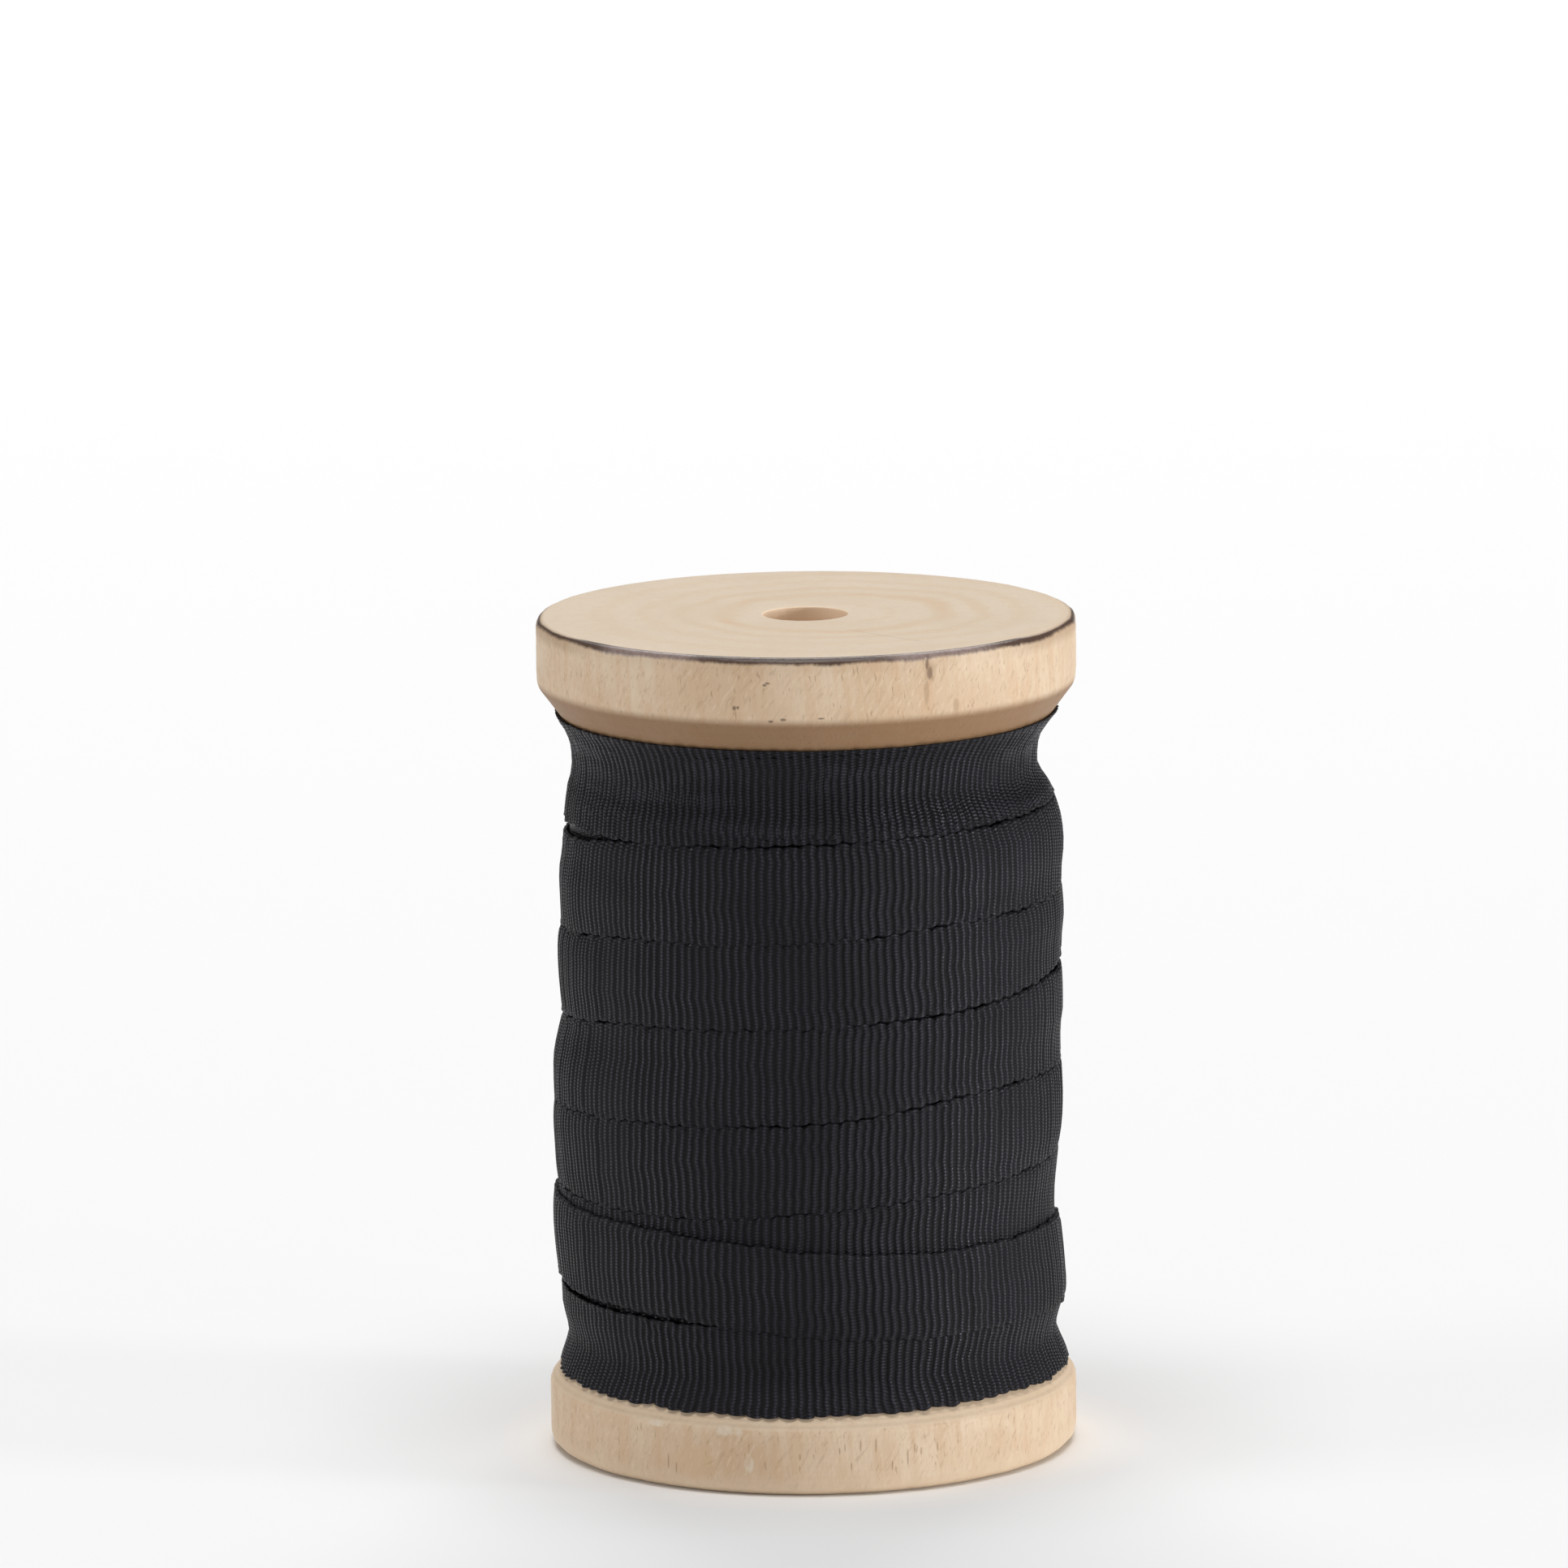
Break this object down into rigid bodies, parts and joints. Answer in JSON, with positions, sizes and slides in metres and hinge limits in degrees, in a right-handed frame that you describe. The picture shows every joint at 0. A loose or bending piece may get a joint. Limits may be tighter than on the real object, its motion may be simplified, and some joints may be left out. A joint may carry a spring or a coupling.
{
  "type": "spool of ribbon",
  "caption": "Turned wooden spool with two flanges and a through bore, wound full with narrow black grosgrain ribbon whose free end is pinned at the back.",
  "frame": {"origin": "centre of the lower end face, where the spool stands", "axes": "+Z along the spool's axis towards the upper flange, -Y towards the viewer"},
  "size_m": [0.06, 0.06, 0.0937],
  "materials": {
    "wood": "turned and sanded, bare, burnished dark on the upper edge",
    "ribbon": "ribbed grosgrain with a soft sheen",
    "pin_steel": "polished",
    "tape": "matt"
  },
  "bodies": {
    "root": {"wooden_spool": "wood", "start_tape": "tape", "ribbon_inner_layers": "ribbon", "ribbon_outer_layer": "ribbon", "ribbon_last_turn": "ribbon", "end_pin": "pin_steel"}
  },
  "joints": []
}
